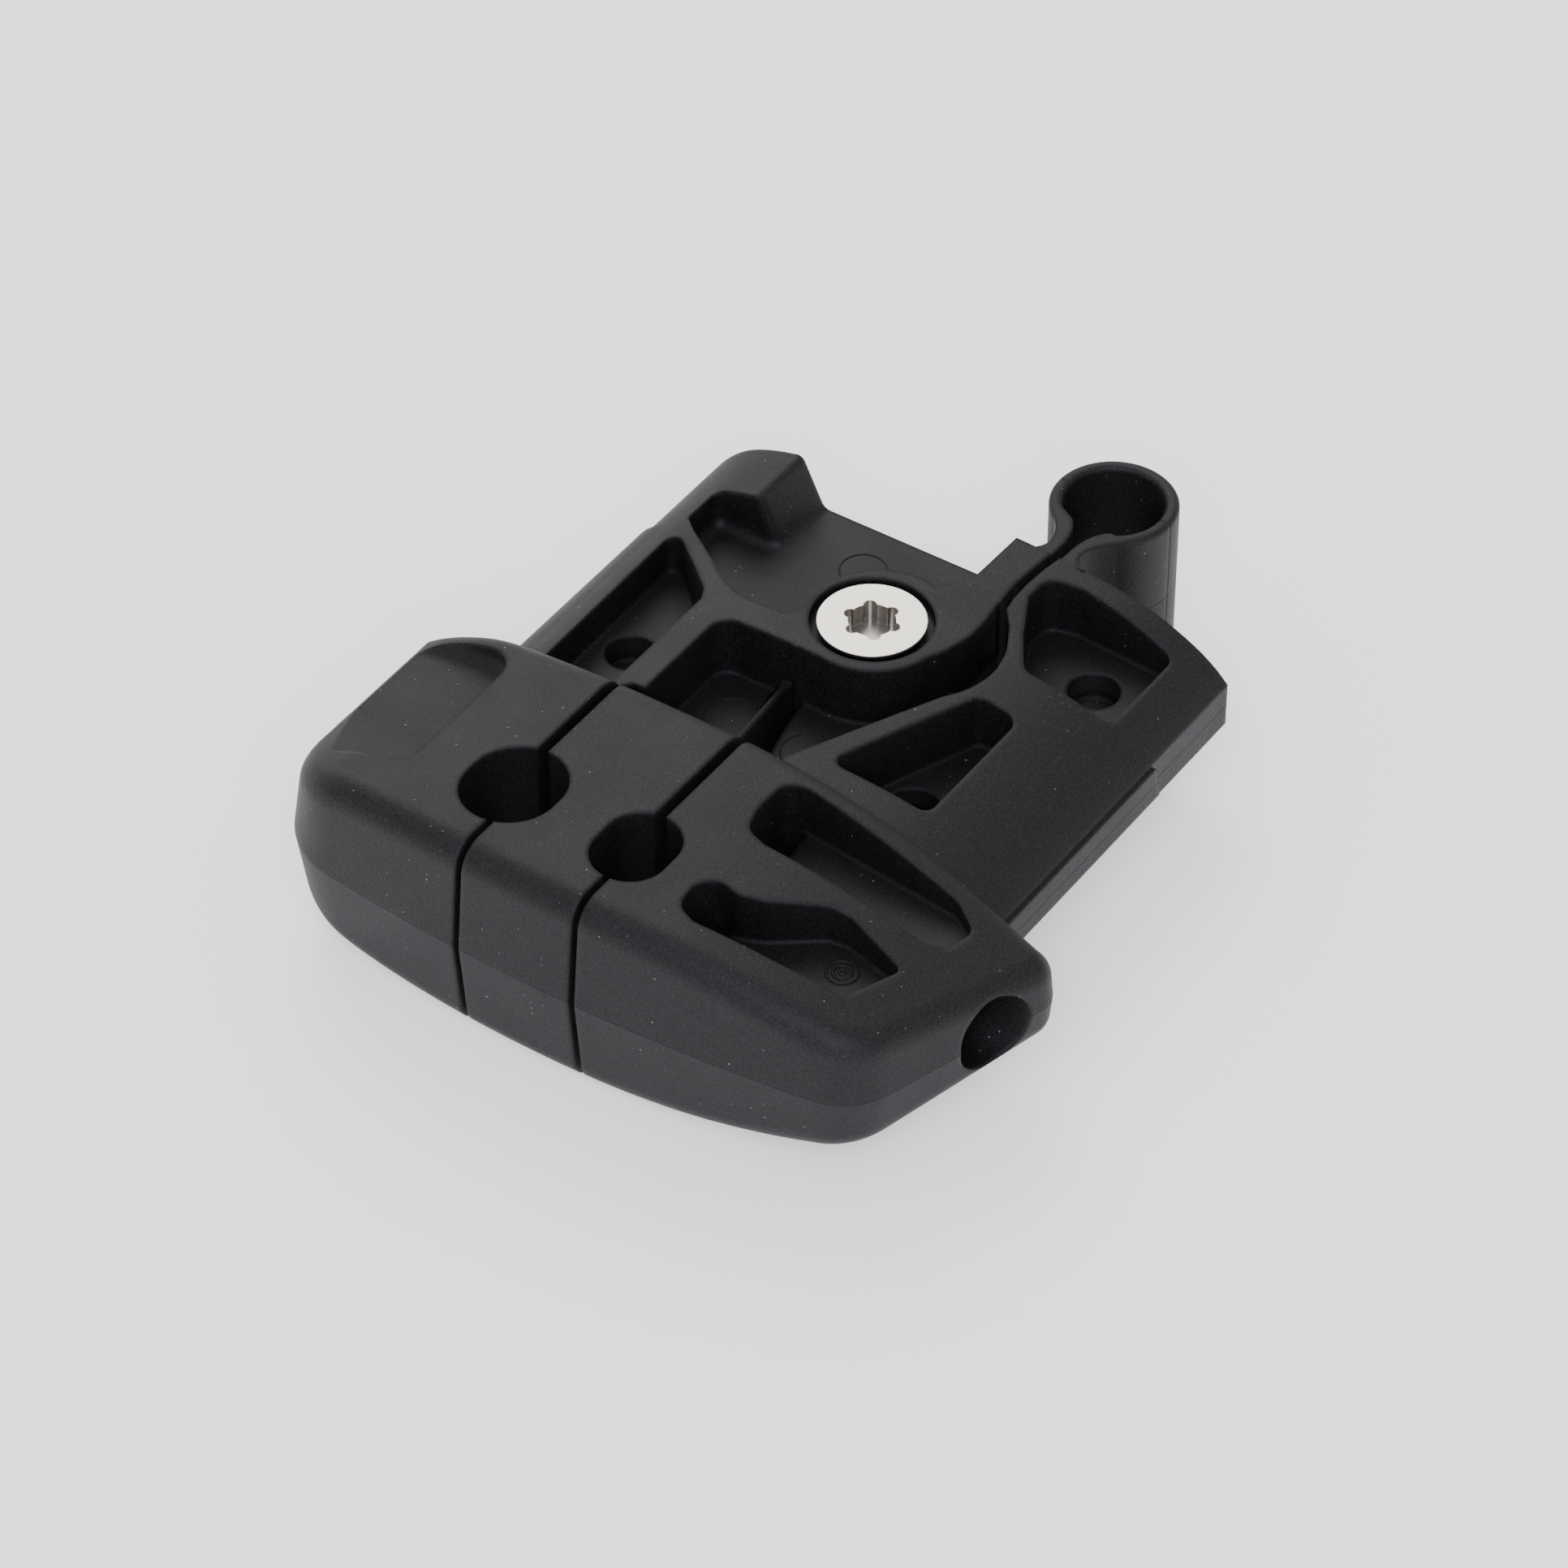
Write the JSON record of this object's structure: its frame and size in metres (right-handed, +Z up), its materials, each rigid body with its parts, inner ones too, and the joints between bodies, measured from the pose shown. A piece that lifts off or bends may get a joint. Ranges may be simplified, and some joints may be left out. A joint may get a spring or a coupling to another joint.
{
  "type": "spreader end wire clamp",
  "caption": "Aerofoil plug with a spring loop and hinged wire jaws that clamps rigging wires across a mast spreader's end.",
  "frame": {"origin": "bottom centre of the bounding box", "axes": "+X along the jaw bar, from its rounded left end to its bored right end; +Y from the jaws to the spring loop; +Z up, through the flat of the part"},
  "size_m": [0.0784, 0.0914, 0.024],
  "materials": {
    "moulding": "fine matte grain, glass-filled nylon",
    "screw": "bead-blasted stainless steel",
    "nut": "plain stainless steel"
  },
  "bodies": {
    "left": {"left_half": "moulding", "spring_loop": "moulding", "jaw_flexure": "moulding"},
    "right": {"right_half": "moulding"},
    "middle": {"middle_jaw": "moulding"},
    "screw": {"lock_screw": "screw"},
    "nut": {"lock_nut": "nut"}
  },
  "joints": [
    {"name": "right_half_swing", "type": "hinge", "parent": "left", "child": "right", "pos_m": [0.0098, 0.03886, 0.012], "axis": [0, 0, 1], "range_deg": [-0.7, 12], "stiffness_Nm_per_rad": 1.2, "deforming": ["spring_loop"]},
    {"name": "middle_jaw_swing", "type": "hinge", "parent": "left", "child": "middle", "pos_m": [-0.0022, -0.00744, 0.012], "axis": [0, 0, 1], "range_deg": [-0.9, 14], "stiffness_Nm_per_rad": 0.3, "deforming": ["jaw_flexure"]},
    {"name": "screw_turn", "type": "hinge", "parent": "left", "child": "screw", "pos_m": [-0.0002, 0.00856, 0.012], "axis": [0, 0, 1], "range_deg": [0, 360]},
    {"name": "nut_slide", "type": "slide", "parent": "left", "child": "nut", "axis": [0, 0, 1], "range_m": [-0.00101, 0]}
  ],
  "couplings": [
    {"joint": "middle_jaw_swing", "follows": "right_half_swing", "ratio": 1.15},
    {"joint": "nut_slide", "follows": "screw_turn", "m_per_rad": -0.00015915}
  ]
}
